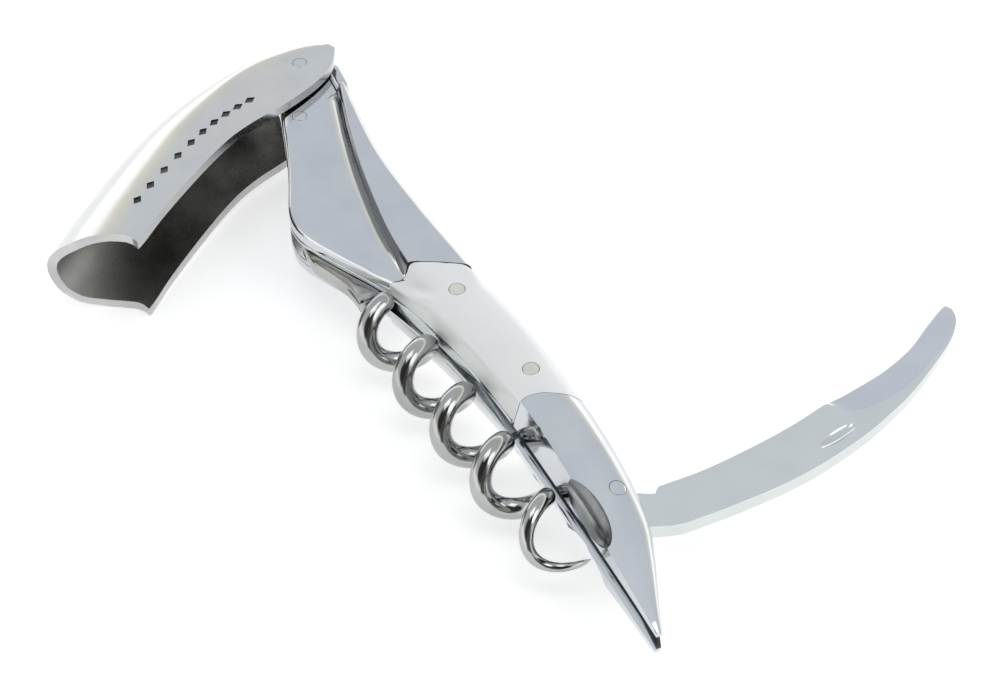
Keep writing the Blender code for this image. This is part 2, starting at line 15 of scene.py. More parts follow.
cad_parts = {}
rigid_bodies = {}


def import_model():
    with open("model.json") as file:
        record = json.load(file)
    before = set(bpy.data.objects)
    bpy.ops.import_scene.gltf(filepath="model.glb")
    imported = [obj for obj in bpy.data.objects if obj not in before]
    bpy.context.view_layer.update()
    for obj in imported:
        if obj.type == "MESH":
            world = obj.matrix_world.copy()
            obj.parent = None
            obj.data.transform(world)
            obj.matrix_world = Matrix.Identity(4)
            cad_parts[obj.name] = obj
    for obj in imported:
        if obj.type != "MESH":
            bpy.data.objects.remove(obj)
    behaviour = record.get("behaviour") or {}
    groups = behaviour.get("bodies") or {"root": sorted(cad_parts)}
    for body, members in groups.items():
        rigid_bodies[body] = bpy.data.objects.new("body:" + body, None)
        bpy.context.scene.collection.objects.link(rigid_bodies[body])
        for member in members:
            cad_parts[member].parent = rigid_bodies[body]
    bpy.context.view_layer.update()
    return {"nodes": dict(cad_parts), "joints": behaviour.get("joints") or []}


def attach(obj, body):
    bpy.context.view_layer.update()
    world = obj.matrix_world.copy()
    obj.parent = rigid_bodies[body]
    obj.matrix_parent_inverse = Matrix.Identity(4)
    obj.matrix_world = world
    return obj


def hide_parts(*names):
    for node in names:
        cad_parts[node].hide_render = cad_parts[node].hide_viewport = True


for item in list(bpy.data.objects):
    bpy.data.objects.remove(item, do_unlink=True)

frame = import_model()

MM = 0.001
JOINT_SPOT = {joint["name"]: np.array(joint["pos_m"]) for joint in frame["joints"]}
PLAN_ORIGIN = JOINT_SPOT["lever_hinge"]


def in_plan(spot):
    """Return a place in the part's frame as plan millimetres."""
    return (np.array(spot) - PLAN_ORIGIN) / MM


WORM_PIN = in_plan(JOINT_SPOT["worm_hinge"])
BLADE_PIN = in_plan(JOINT_SPOT["blade_hinge"])

CORE_HALF = 1.15
LINER_INNER = 1.25
LINER_OUTER = 2.05
PLATE_INNER = 2.10
RECESS = 4.0
CROWN = 6.5
PIN_RADIUS = 1.1
HOLE_RADIUS = 1.16
FINE_HOLE = 1.125
SEAM = 0.05
REAR_GAP = 0.09
LEVER_SHEET = 1.4

HINGE_PIN = (0, 0)
BOLSTER_PIN = (9.8, -4.0)
REAR_SCALE_PIN = (56.0, 1.0)
FRONT_SCALE_PIN = (73.6, 3.6)


# ---------------------------------------------------------------- lines and meshes

def spline(points, steps=10):
    """Return points along a Catmull-Rom curve through the given points."""
    control = np.array(points, dtype=float)
    padded = np.vstack([2 * control[0] - control[1], control, 2 * control[-1] - control[-2]])
    path = []
    for index in range(len(control) - 1):
        before, start, end, after = padded[index:index + 4]
        for step in range(steps):
            t = step / steps
            path.append(0.5 * (2 * start + (end - before) * t
                               + (2 * before - 5 * start + 4 * end - after) * t * t
                               + (3 * start - before - 3 * end + after) * t ** 3))
    path.append(control[-1])
    return np.array(path)


def blurred(values, passes):
    """Return a row of values with its small kinks smoothed out; the ends stay."""
    values = np.array(values, dtype=float)
    for _ in range(passes):
        middle = (values[:-2] + 2 * values[1:-1] + values[2:]) / 4
        values = np.concatenate([values[:1], middle, values[-1:]])
    return values


class Track:
    """A smooth line that gives a value at any place along it."""

    def __init__(self, points, passes):
        path = spline(points, 12)
        order = np.argsort(path[:, 0])
        self.xs = np.linspace(path[:, 0].min(), path[:, 0].max(), 500)
        self.ys = blurred(np.interp(self.xs, path[order, 0], path[order, 1]), passes)

    def __call__(self, x):
        return np.interp(x, self.xs, self.ys)


def ease(value, low, high):
    """Return 0 below low, 1 above high, and a smooth rise between."""
    t = np.clip((np.asarray(value, dtype=float) - low) / (high - low), 0, 1)
    return t * t * (3 - 2 * t)


def arc(centre, radius, start, end, count):
    """Return points along an arc between two angles in degrees."""
    angles = np.radians(np.linspace(start, end, count))
    return [(centre[0] + radius * math.cos(a), centre[1] + radius * math.sin(a)) for a in angles]


def stations(*stretches):
    """Return places along a piece from (start, end, how many) stretches."""
    places = []
    for start, end, count in stretches:
        places.extend(np.linspace(start, end, count, endpoint=False))
    places.append(stretches[-1][1])
    return places


def mesh_piece(name, points, faces, indices=None):
    """Return an object whose points are in plan millimetres."""
    mesh = bpy.data.meshes.new(name)
    placed = PLAN_ORIGIN + np.asarray(points, dtype=float) * MM
    mesh.from_pydata(placed.tolist(), [], faces)
    if indices is not None:
        mesh.polygons.foreach_set("material_index", indices)
    shape = bmesh.new()
    shape.from_mesh(mesh)
    bmesh.ops.recalc_face_normals(shape, faces=shape.faces)
    if shape.calc_volume(signed=True) < 0:
        bmesh.ops.reverse_faces(shape, faces=shape.faces)
    shape.to_mesh(mesh)
    shape.free()
    obj = bpy.data.objects.new(name, mesh)
    bpy.context.scene.collection.objects.link(obj)
    return obj


def loft(name, rings, start_end=(0, 0)):
    """Return a closed piece skinned over rings; start_end gives the end faces' materials."""
    rings = np.asarray(rings, dtype=float)
    rows, count = rings.shape[:2]
    faces = []
    for row in range(rows - 1):
        for index in range(count):
            after = (index + 1) % count
            faces.append((row * count + index, row * count + after,
                          (row + 1) * count + after, (row + 1) * count + index))
    faces.append(tuple(range(count))[::-1])
    faces.append(tuple(range((rows - 1) * count, rows * count)))
    indices = [0] * (len(faces) - 2) + [int(start_end[0]), int(start_end[1])]
    return mesh_piece(name, rings.reshape(-1, 3), faces, indices)


def slab(name, outline, low, high, soften=0.08):
    """Return a flat plate with softened edges, from a closed outline."""
    count = len(outline)
    points = [(x, y, low) for x, y in outline] + [(x, y, high) for x, y in outline]
    faces = [tuple(range(count))[::-1], tuple(range(count, 2 * count))]
    for index in range(count):
        after = (index + 1) % count
        faces.append((index, after, count + after, count + index))
    obj = mesh_piece(name, points, faces)
    soften_edges(obj, soften)
    return obj


def soften_edges(obj, width, angle=40):
    """Round the edges of a piece that are sharper than the angle."""
    change = obj.modifiers.new("softened edges", "BEVEL")
    change.width = width * MM
    change.segments = 2
    change.limit_method = "ANGLE"
    change.angle_limit = math.radians(angle)
    change.harden_normals = True
    change.use_clamp_overlap = True


def bake_modifiers(obj):
    """Replace a piece's mesh by what its modifiers make of it."""
    bpy.context.view_layer.update()
    evaluated = obj.evaluated_get(bpy.context.evaluated_depsgraph_get())
    mesh = bpy.data.meshes.new_from_object(evaluated)
    obj.modifiers.clear()
    obj.data = mesh


def cut(obj, *cutters):
    """Cut the cutters from a piece, and remove them."""
    for cutter in cutters:
        change = obj.modifiers.new("cut", "BOOLEAN")
        change.operation = "DIFFERENCE"
        change.object = cutter
        change.solver = "EXACT"
    bake_modifiers(obj)
    for cutter in cutters:
        bpy.data.objects.remove(cutter, do_unlink=True)


def drill(centre, radius=HOLE_RADIUS, half=12.0):
    """Return a round cutter that stands through the whole thickness."""
    rim = arc(centre, radius, 0, 360 - 360 / 48, 48)
    return loft("drill", [[(x, y, -half) for x, y in rim], [(x, y, half) for x, y in rim]])


def ellipsoid(centre, radii, turn=0.0):
    """Return an ellipsoid, turned about the vertical by an angle in degrees."""
    spin = Matrix.Rotation(math.radians(turn), 3, "Z")
    rings = []
    for latitude in np.radians(np.linspace(-86, 86, 25)):
        ring = []
        for a in np.linspace(0, 2 * math.pi, 40, endpoint=False):
            spot = Vector((radii[0] * math.cos(latitude) * math.cos(a),
                           radii[1] * math.cos(latitude) * math.sin(a),
                           radii[2] * math.sin(latitude)))
            ring.append(tuple(Vector(centre) + spin @ spot))
        rings.append(ring)
    return loft("ellipsoid", rings)


def surface_over(obj):
    """Return a function that gives the height of a piece's upper surface over a plan place."""
    tree = BVHTree.FromObject(obj, bpy.context.evaluated_depsgraph_get())

    def height(x, y):
        start = Vector(PLAN_ORIGIN + np.array([x, y, 20.0]) * MM)
        spot = tree.ray_cast(start, Vector((0, 0, -1)))[0]
        return (spot.z - PLAN_ORIGIN[2]) / MM

    return height


def paint(obj, *materials):
    for material in materials:
        obj.data.materials.append(material)


def dress(obj, body, node, slot, *materials, angle=38):
    """Give a piece its body, CAD node, materials and shading; the material slot name is not used.
    """
    paint(obj, *materials)
    obj.data.shade_smooth()
    obj.data.set_sharp_from_angle(angle=math.radians(angle))
    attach(obj, body)
    if node:
        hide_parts(node)
    return obj


# ---------------------------------------------------------------- materials

class Nodes:
    """A material's node tree, with short ways to add what these finishes need."""

    def __init__(self, name):
        self.material = bpy.data.materials.new(name)
        self.material.use_nodes = True
        self.tree = self.material.node_tree
        self.shader = self.tree.nodes["Principled BSDF"]
        self.place = self.add("ShaderNodeTexCoord").outputs["Object"]

    def add(self, kind, **settings):
        node = self.tree.nodes.new(kind)
        for key, value in settings.items():
            if hasattr(node, key):
                setattr(node, key, value)
            else:
                node.inputs[key].default_value = value
        return node

    def link(self, source, target):
        self.tree.links.new(source, target)

    def noise(self, scale, stretch=(1, 1, 1), detail=4.0):
        """Return noise over the piece, with scale in features per metre."""
        mapping = self.add("ShaderNodeMapping")
        mapping.inputs["Scale"].default_value = stretch
        self.link(self.place, mapping.inputs["Vector"])
        noise = self.add("ShaderNodeTexNoise")
        noise.inputs["Scale"].default_value = scale
        noise.inputs["Detail"].default_value = detail
        self.link(mapping.outputs["Vector"], noise.inputs["Vector"])
        return noise.outputs["Fac"]

    def ranged(self, source, low, high, start=0.3, end=0.7):
        """Return the source spread over low to high."""
        spread = self.add("ShaderNodeMapRange")
        spread.inputs["From Min"].default_value = start
        spread.inputs["From Max"].default_value = end
        spread.inputs["To Min"].default_value = low
        spread.inputs["To Max"].default_value = high
        self.link(source, spread.inputs["Value"])
        return spread.outputs["Result"]

    def mixed(self, factor, first, second):
        mix = self.add("ShaderNodeMix", data_type="RGBA")
        mix.inputs[6].default_value = (*first, 1.0)
        mix.inputs[7].default_value = (*second, 1.0)
        self.link(factor, mix.inputs[0])
        return mix.outputs[2]

    def bump(self, source, distance, after=None):
        bump = self.add("ShaderNodeBump")
        bump.inputs["Distance"].default_value = distance
        self.link(source, bump.inputs["Height"])
        if after is not None:
            self.link(after, bump.inputs["Normal"])
        return bump.outputs["Normal"]


def steel(name, dark, bright, rough, waviness=0.00001, grain=0.0, spread=0.3):
    """A polished steel: slight tone and roughness changes, fine polish lines, faint waves."""
    nodes = Nodes(name)
    shader = nodes.shader
    shader.inputs["Metallic"].default_value = 1.0
    tone = nodes.ranged(nodes.noise(160), 0.0, 1.0)
    nodes.link(nodes.mixed(tone, dark, bright), shader.inputs["Base Color"])
    lines = nodes.noise(2600, (0.12, 1, 1), 6.0)
    nodes.link(nodes.ranged(lines, rough * (1 - spread), rough * (1 + spread)),
               shader.inputs["Roughness"])
    normal = nodes.bump(nodes.noise(110, detail=2.0), waviness)
    if grain:
        normal = nodes.bump(lines, grain, after=normal)
    nodes.link(normal, shader.inputs["Normal"])
    return nodes.material


def rough_steel(name, painted_highlight_spot):
    """The dull inside of the lever: dark, with a fine bright grain, and a painted highlight that
    makes it paler round one spot.
    """
    nodes = Nodes(name)
    shader = nodes.shader
    shader.inputs["Metallic"].default_value = 0.9
    grain = nodes.noise(6000, (1, 1, 1), 8.0)
    blotch = nodes.noise(130, (1, 1, 1), 3.0)
    # Painted highlight: the base colour grows paler within about 16 mm of one spot.
    distance = nodes.add("ShaderNodeVectorMath", operation="DISTANCE")
    distance.inputs[1].default_value = painted_highlight_spot
    nodes.link(nodes.place, distance.inputs[0])
    pale = nodes.ranged(distance.outputs["Value"], 0.75, 0.0, 0.003, 0.016)
    tone = nodes.add("ShaderNodeMath", operation="MULTIPLY_ADD")
    nodes.link(nodes.ranged(blotch, 0.0, 0.25), tone.inputs[0])
    nodes.link(nodes.ranged(grain, 0.2, 1.8), tone.inputs[1])
    nodes.link(pale, tone.inputs[2])
    nodes.link(nodes.mixed(tone.outputs["Value"], (0.04, 0.039, 0.035), (0.50, 0.495, 0.475)),
               shader.inputs["Base Color"])
    nodes.link(nodes.ranged(grain, 0.26, 0.48), shader.inputs["Roughness"])
    nodes.link(nodes.bump(grain, 0.00008), shader.inputs["Normal"])
    return nodes.material


def resin(name):
    """Polished off-white resin with a faint cloudiness."""
    nodes = Nodes(name)
    shader = nodes.shader
    cloud = nodes.ranged(nodes.noise(90, (1, 1, 1), 5.0), 0.0, 1.0)
    nodes.link(nodes.mixed(cloud, (0.82, 0.84, 0.845), (0.87, 0.885, 0.885)),
               shader.inputs["Base Color"])
    nodes.link(nodes.ranged(nodes.noise(900, (1, 1, 1), 4.0), 0.18, 0.26),
               shader.inputs["Roughness"])
    nodes.link(nodes.bump(nodes.noise(140, (1, 1, 1), 2.0), 0.00001), shader.inputs["Normal"])
    shader.inputs["Subsurface Weight"].default_value = 0.08
    shader.inputs["Subsurface Radius"].default_value = (0.002, 0.002, 0.002)
    shader.inputs["Coat Weight"].default_value = 0.12
    shader.inputs["Coat Roughness"].default_value = 0.08
    return nodes.material


def pale_floor(name):
    """A pale, matt table, lit softly from below as a light table is."""
    nodes = Nodes(name)
    shader = nodes.shader
    nodes.link(nodes.mixed(nodes.noise(12), (0.74, 0.74, 0.74), (0.76, 0.76, 0.76)),
               shader.inputs["Base Color"])
    shader.inputs["Roughness"].default_value = 0.9
    shader.inputs["Specular IOR Level"].default_value = 0.1
    shader.inputs["Emission Color"].default_value = (1.0, 1.0, 1.0, 1.0)
    shader.inputs["Emission Strength"].default_value = 0.53
    return nodes.material


MIRROR = steel("mirror_steel", (0.60, 0.62, 0.65), (0.65, 0.67, 0.69), 0.09, grain=0.0000005)
LEVER_OUT = steel("lever_sheet", (0.64, 0.65, 0.66), (0.69, 0.70, 0.70), 0.13)
# The lever's inside; its painted highlight is centred near the far end of the channel.
LEVER_IN = rough_steel("lever_inside", PLAN_ORIGIN + np.array([20.0, -45.0, -3.0]) * MM)
WIRE = steel("worm_wire", (0.36, 0.367, 0.36), (0.49, 0.495, 0.485), 0.11, waviness=0.00004)
BLADE = steel("blade_flat", (0.66, 0.69, 0.69), (0.70, 0.725, 0.725), 0.22, spread=0.12)
# The ground facet's finer polish is its own; its bluish tint is a painted reflection.
EDGE = steel("blade_ground", (0.62, 0.645, 0.695), (0.66, 0.685, 0.73), 0.16, spread=0.12)
CORE = steel("spring_steel", (0.50, 0.53, 0.55), (0.60, 0.63, 0.65), 0.18, grain=0.000003)
NICKEL = steel("nickel_silver", (0.69, 0.69, 0.61), (0.77, 0.765, 0.69), 0.38, grain=0.000002)
# Painted shade: dark steel in the nose's scooped notches, in place of the shade and dark
# reflections there.
NOTCH_SHADE = steel("notch_painted_shade", (0.14, 0.15, 0.16), (0.42, 0.43, 0.44), 0.20, waviness=0.00025)
# Painted shade: near-black steel on the nose's inner faces, where the blade's slot lies in shade.
SLOT_SHADE = steel("slot_painted_shade", (0.08, 0.09, 0.10), (0.18, 0.19, 0.20), 0.40, grain=0.000003)
RIM = steel("lever_rim", (0.46, 0.46, 0.455), (0.62, 0.62, 0.62), 0.22, spread=0.15)
JOINT = steel("joint_line", (0.02, 0.02, 0.02), (0.05, 0.05, 0.05), 0.60)
RESIN = resin("white_resin")


# ---------------------------------------------------------------- handle lines

BELLY = Track([(-4.7, 0.0), (-4.4, -1.7), (-3.2, -3.4), (-1.0, -4.5), (3.0, -5.0), (6.5, -5.9),
               (16.0, -8.6), (22.6, -10.8), (28.0, -12.9), (31.4, -13.5), (34.8, -12.8),
               (40.5, -10.0), (44.6, -7.8), (48.9, -6.0), (57.9, -3.4), (66.1, -1.9),
               (74.1, -1.1), (84.0, -0.6), (100.0, -0.2), (115.3, 0.0)], 12)
BACK = Track([(-4.7, 0.0), (-4.3, 1.9), (-3.0, 3.5), (-1.0, 4.4), (3.0, 4.3), (10.3, 4.0),
              (24.6, 2.8), (38.0, 3.4), (47.0, 4.4), (53.0, 5.3), (61.5, 6.9), (72.5, 8.1),
              (80.0, 8.4), (87.0, 8.4), (93.9, 8.0), (100.2, 7.0), (104.0, 5.7), (108.0, 4.0),
              (111.5, 2.4), (115.3, 0.8)], 12)
STEP = Track([(7.0, 4.35), (7.4, 3.8), (8.2, 3.35), (9.5, 2.95), (14.0, 1.8), (18.5, 0.7),
              (27.5, -1.1), (39.7, -2.7), (48.2, -2.9), (56.0, -2.6)], 8)
REAR_SEAM = spline([(49.6, -7.4), (48.6, -6.0), (48.9, -4.4), (48.4, -2.6), (49.4, -0.4),
                    (51.2, 2.8), (54.2, 7.0)])
FRONT_SEAM = spline([(78.0, -2.4), (77.6, -0.3), (77.4, 1.2), (78.0, 3.0), (78.9, 4.6),
                     (79.9, 6.4), (81.2, 8.0), (83.6, 9.6)])
NOSE_TOP = Track([(70.0, 6.5), (78.0, 6.5), (84.0, 6.3), (93.0, 5.4), (100.0, 4.35),
                  (108.0, 3.15), (112.0, 2.62), (113.8, 2.38), (114.7, 2.15), (115.2, 1.9)], 20)


def seam_x(seam, y):
    """Return where a seam line crosses each y."""
    return np.interp(y, seam[:, 1], seam[:, 0])


def to_seam(ring, x, end, seam, gap, reach=9.0):
    """Shift a ring lengthwise so that the ring at the piece's end lies along a seam."""
    share = np.clip(1 - abs(end - x) / reach, 0, 1) ** 1.5
    return [(px + share * (seam_x(seam, py) + gap - end), py, pz) for px, py, pz in ring]


def quarter(start, end, count, bulge_first="y"):
    """Return points of a quarter ellipse between two profile points, ends included."""
    angles = np.linspace(0, math.pi / 2, count)
    if bulge_first == "z":
        return [(end[0] + (start[0] - end[0]) * math.cos(a),
                 start[1] + (end[1] - start[1]) * math.sin(a)) for a in angles]
    return [(start[0] + (end[0] - start[0]) * math.sin(a),
             end[1] + (start[1] - end[1]) * math.cos(a)) for a in angles]


FIELD_RISE = 1.05
WALL_STRIP = 0.75
STRIP_SLANT = 0.24
EDGE_DROP = 0.25
BACK_DROP = 0.03


def bolster_ring(x):
    """Return the lever bolster's section: recessed field, fillet, wall, lobe, back."""
    low, high, step = float(BELLY(x)), float(BACK(x)), float(STEP(x))
    lobe = float(ease(x, 7.0, 8.0))
    wide = max(high - low, 0.02)
    round_wide = min(0.6 + 0.5 * float(ease(x, 30, 38)) * float(1 - ease(x, 47, 51)), wide * 0.3)
    round_high = 0.75 if wide > 2 else 0.75 * wide / 2
    top = RECESS + (CROWN - RECESS) * lobe
    wall = min(step, high - 0.08 * wide) if x > 7.0 else high - 0.08 * wide
    lean = wall - 0.45 * lobe
    foot = min(lean - 0.2 - 2.3 * lobe, high - 0.3 * wide)
    foot = max(foot, low + round_wide + 0.1 * wide)
    profile = [(low, PLATE_INNER), (low, 2.7)]
    profile += quarter((low, RECESS - round_high), (low + round_wide, RECESS), 9, "z")
    start = low + round_wide
    for share in np.linspace(0.15, 1.0, 7):
        profile.append((start + (foot - start) * share, RECESS))
    for share in np.linspace(0.1, 1.0, 10):
        profile.append((foot + (lean - foot) * share, RECESS + FIELD_RISE * lobe * share ** 2.6))
    wall_rise = CROWN - RECESS - FIELD_RISE - WALL_STRIP
    for share in (0.5, 0.9, 1.0):
        profile.append((lean + (wall - STRIP_SLANT - lean) * share,
                        RECESS + (FIELD_RISE + wall_rise * share) * lobe))
    for share in (0.12, 0.88, 1.0):
        drop = WALL_STRIP - (WALL_STRIP - EDGE_DROP) * share
        profile.append((wall - STRIP_SLANT * (1 - share), top - drop * lobe))
    edge = min(0.34, (high - wall) * 0.3)
    profile += quarter((wall, top - EDGE_DROP * lobe), (wall + edge, top - BACK_DROP * lobe),
                       7, "z")[1:]
    back_round = min(0.8, (high - wall - edge) * 0.6)
    for share in np.linspace(0.12, 1.0, 7):
        y = wall + edge + (high - back_round - wall - edge) * share
        profile.append((y, top - BACK_DROP * lobe * (1 - share)))
    drop = 0.75 + 0.15 * lobe
    profile += quarter((high - back_round, top), (high, top - drop), 9)[1:]
    profile += [(high, 2.7), (high, PLATE_INNER)]
    return [(x, y, z) for y, z in profile]


def make_lever_bolster(side):
    """Make one lever bolster, with its rings closest where its lobe begins."""
    places = [-4.7 + 0.02, -4.6, -4.45, -4.25]
    places += stations((-4.0, -2.0, 10), (-2.0, 6.6, 18), (6.6, 9.0, 28), (9.0, 12.0, 30),
                       (12.0, 50.0, 110))
    rings = [to_seam(bolster_ring(x), x, 50.0, REAR_SEAM, -REAR_GAP) for x in places]
    return loft("lever_bolster", np.array(rings) * (1, 1, side), (0, 1))


# The scale's section, as (share of the width, share of the height), belly to back: flush with
# the bolster's field and lobe at its rear end, a round crown in the middle, and at its front
# end nearly the nose's section.
SCALE_REAR = ((0.0, 0.0), (0.0, 0.30), (0.01, 0.40), (0.05, 0.432), (0.14, 0.435), (0.20, 0.47),
              (0.255, 0.62), (0.30, 0.86), (0.36, 0.965), (0.52, 1.0), (0.74, 0.995),
              (0.90, 0.99), (0.965, 0.93), (0.995, 0.80), (1.0, 0.45), (1.0, 0.0))
SCALE_MIDDLE = ((0.0, 0.0), (0.003, 0.26), (0.018, 0.50), (0.045, 0.69), (0.08, 0.81),
                (0.13, 0.88), (0.20, 0.93), (0.28, 0.965), (0.38, 0.99), (0.52, 1.0),
                (0.70, 0.985), (0.84, 0.92), (0.94, 0.76), (0.98, 0.52), (0.995, 0.25),
                (1.0, 0.0))
SCALE_FRONT = ((0.0, 0.0), (0.03, 0.25), (0.06, 0.50), (0.09, 0.68), (0.12, 0.78), (0.16, 0.83),
               (0.20, 0.865), (0.314, 0.94), (0.40, 0.975), (0.49, 1.0), (0.648, 0.985),
               (0.789, 0.90), (0.903, 0.73), (0.965, 0.50), (0.992, 0.25), (1.0, 0.0))
NOSE_CROWN = spline([(0.0, 0.78), (0.09, 0.865), (0.22, 0.94), (0.42, 1.0), (0.60, 0.985),
                     (0.76, 0.90), (0.89, 0.73), (0.96, 0.50), (0.99, 0.25), (1.0, 0.0)], 5)


def mixed_section(first, second, share):
    """Return a section that lies between two others."""
    return np.array(first) * (1 - share) + np.array(second) * share


def make_scale(side):
    """Make one scale, its ends lying along the two seams."""
    rings = []
    for x in stations((49.0, 79.5, 130)):
        low, high = float(BELLY(x)), float(BACK(x))
        rise = float(NOSE_TOP(x)) - PLATE_INNER
        section = mixed_section(SCALE_REAR, SCALE_MIDDLE, float(ease(x, 50.0, 57.0)))
        section = mixed_section(section, SCALE_FRONT, float(ease(x, 64.0, 79.0)))
        ring = [(x, low + (high - low) * across, PLATE_INNER + rise * up)
                for across, up in spline(section, 4)]
        ring = to_seam(ring, x, 49.0, REAR_SEAM, REAR_GAP)
        rings.append(to_seam(ring, x, 79.5, FRONT_SEAM, -SEAM))
    return loft("scale", np.array(rings) * (1, 1, side), (1, 1))


# How far the chamfer beside the blade's slot reaches across and up.
SLOT_BEVEL = (0.75, 0.30)
# A nose's flat inner face is steeper than this cosine to the middle plane.
INNER_FACE = -0.97


def nose_ring(x):
    """Return the nose's section: a flat belly facet with a crisp edge, then a round crown."""
    low, high, top = float(BELLY(x)), float(BACK(x)), float(NOSE_TOP(x))
    fade = float(ease(x, 88.0, 99.0))
    start = low + (0.12 - 0.10 * fade) * (high - low)
    crown = NOSE_CROWN.copy()
    crown[:, 1] += 0.08 * fade * (1 - crown[:, 0]) ** 4
    base = min(PLATE_INNER, LINER_INNER + 0.3 * (top - LINER_INNER))
    heights = base + (top - base) * crown[:, 1]
    bevel = min(1.0, (high - low) / 3.0)
    mouth = LINER_INNER + SLOT_BEVEL[1] * bevel
    ring = [(low + SLOT_BEVEL[0] * bevel, LINER_INNER), (low, mouth)]
    for share in np.linspace(0.2, 1.0, 5):
        ring.append((low + (start - low) * share ** 1.2, mouth + (heights[0] - mouth) * share))
    for across, height in zip(crown[1:, 0], heights[1:]):
        ring.append((start + (high - start) * across, height))
    ring[-1] = (high, LINER_INNER)
    return [(x, y, z) for y, z in ring]


def make_nose(side):
    rings = []
    for x in stations((77.0, 110.0, 120), (110.0, 115.1, 22)):
        rings.append(to_seam(nose_ring(x), x, 77.0, FRONT_SEAM, SEAM, 5.0))
    return loft("nose_bolster", np.array(rings) * (1, 1, side))


def make_handle():
    """Make the bolsters, scales and liners, and the pins that end flush in them."""
    for word, side in (("top", 1), ("bottom", -1)):
        bolster = make_lever_bolster(side)
        scale = make_scale(side)
        nose = make_nose(side)
        if side > 0:
            make_pin("bolster_pin", "handle", BOLSTER_PIN, surface_over(bolster),
                     "polished_steel", MIRROR)
            over_scale = surface_over(scale)
            for node, centre in (("rear_scale_pin", REAR_SCALE_PIN),
                                 ("front_scale_pin", FRONT_SCALE_PIN)):
                make_pin(node, "handle", centre, over_scale, "nickel_silver", NICKEL)
            make_pin("blade_pivot_pin", "handle", tuple(BLADE_PIN[:2]), surface_over(nose),
                     "polished_steel", MIRROR)
        paint(bolster, MIRROR, JOINT)
        cut(bolster, drill(HINGE_PIN), drill(BOLSTER_PIN, FINE_HOLE))
        dress(bolster, "handle", f"{word}_lever_bolster", "polished_steel", angle=50)

        paint(scale, RESIN, JOINT)
        cut(scale, drill(REAR_SCALE_PIN), drill(FRONT_SCALE_PIN))
        dress(scale, "handle", f"{word}_scale", "white_resin", angle=50)

        paint(nose, MIRROR, NOTCH_SHADE, SLOT_SHADE)
        # The nose's inner faces, which look into the blade's slot, take the painted shade.
        for face in nose.data.polygons:
            if face.normal.z * side < INNER_FACE:
                face.material_index = 2
        # The scooped notches carry the dark steel, a painted shade, onto the nose.
        notches = [ellipsoid((82.6, -0.4, side * 5.0), (1.3, 1.0, 1.2)),
                   ellipsoid((96.6, -0.7, side * 4.9), (6.2, 2.7, 3.5), 4.0)]
        for cutter in notches:
            paint(cutter, MIRROR, NOTCH_SHADE)
            for face in cutter.data.polygons:
                face.material_index = 1
        cut(nose, drill(BLADE_PIN, FINE_HOLE), *notches)
        dress(nose, "handle", f"{word}_nose_bolster", "polished_steel", angle=26)

        low, high = sorted((side * LINER_INNER, side * LINER_OUTER))
        xs = stations((-4.68, -4.0, 6), (-4.0, 0.0, 12), (0.0, 77.0, 120))
        outline = [(x, float(BELLY(x))) for x in xs] + [(x, float(BACK(x))) for x in xs[::-1]]
        liner = slab("liner", outline[1:-1], low, high, 0.07)
        cut(liner, drill(HINGE_PIN))
        dress(liner, "handle", f"{word}_liner", "polished_steel", CORE)


def make_springs():
    """Make the centre spring, the lever spring and its proud head."""
    back = spline([(27.2, -3.3), (33.0, -3.5), (37.0, -3.1), (40.0, -1.5), (47.0, 1.7),
                   (57.0, 3.6), (70.0, 4.7), (80.0, 4.9), (87.0, 4.6), (90.4, 4.5)])
    belly = spline([(90.4, 2.0), (84.0, 1.5), (76.0, 0.9), (70.0, 0.1), (66.0, -0.9),
                    (62.0, -2.1), (58.0, -3.0), (54.0, -4.1), (50.0, -5.0), (47.0, -5.3),
                    (44.0, -5.2), (33.0, -5.2), (27.2, -5.3)])
    centre = slab("centre_spring", [tuple(p) for p in np.vstack([back, belly])],
                  -CORE_HALF, CORE_HALF, 0.1)
    dress(centre, "handle", "centre_spring", "polished_steel", CORE)

    under = arc((0, 0), 4.45, 112, 40, 12) + [tuple(p) for p in spline(
        [(6.0, 1.4), (14.0, 0.2), (24.0, -1.6), (31.8, -1.9)])]
    over = [(32.4, -1.0)] + [(x, float(BACK(x))) for x in np.linspace(32.4, 0.0, 40)]
    arm = slab("lever_spring", under + over + [(-1.4, 4.6)], -CORE_HALF, CORE_HALF, 0.1)
    dress(arm, "handle", "lever_spring", "polished_steel", CORE)

    head = slab("spring_head", [(-1.5, 4.6), (5.6, 4.35), (6.0, 5.0), (4.4, 6.1), (-0.4, 6.4),
                                (-1.5, 5.6)], -2.9, 2.9, 0.35)
    dress(head, "handle", "spring_head", "polished_steel", MIRROR)


def make_pin(node, body, centre, height, slot, material):
    """A rod whose ends are ground flush with the surface that the height function gives."""
    ends = ((1.0, -0.16), (0.985, -0.05), (0.95, 0.0), (0.7, 0.012), (0.35, 0.015), (0.02, 0.015))
    loops = []
    for share, lift in ends:
        rim = arc(centre, share * PIN_RADIUS, 0, 360 - 7.5, 48)
        loops.append([(x, y, height(x, y) + lift) for x, y in rim])
    mirrored = [[(x, y, -z) for x, y, z in loop] for loop in loops[::-1]]
    dress(loft(node, mirrored + loops), body, node, slot, material)


# ---------------------------------------------------------------- lever

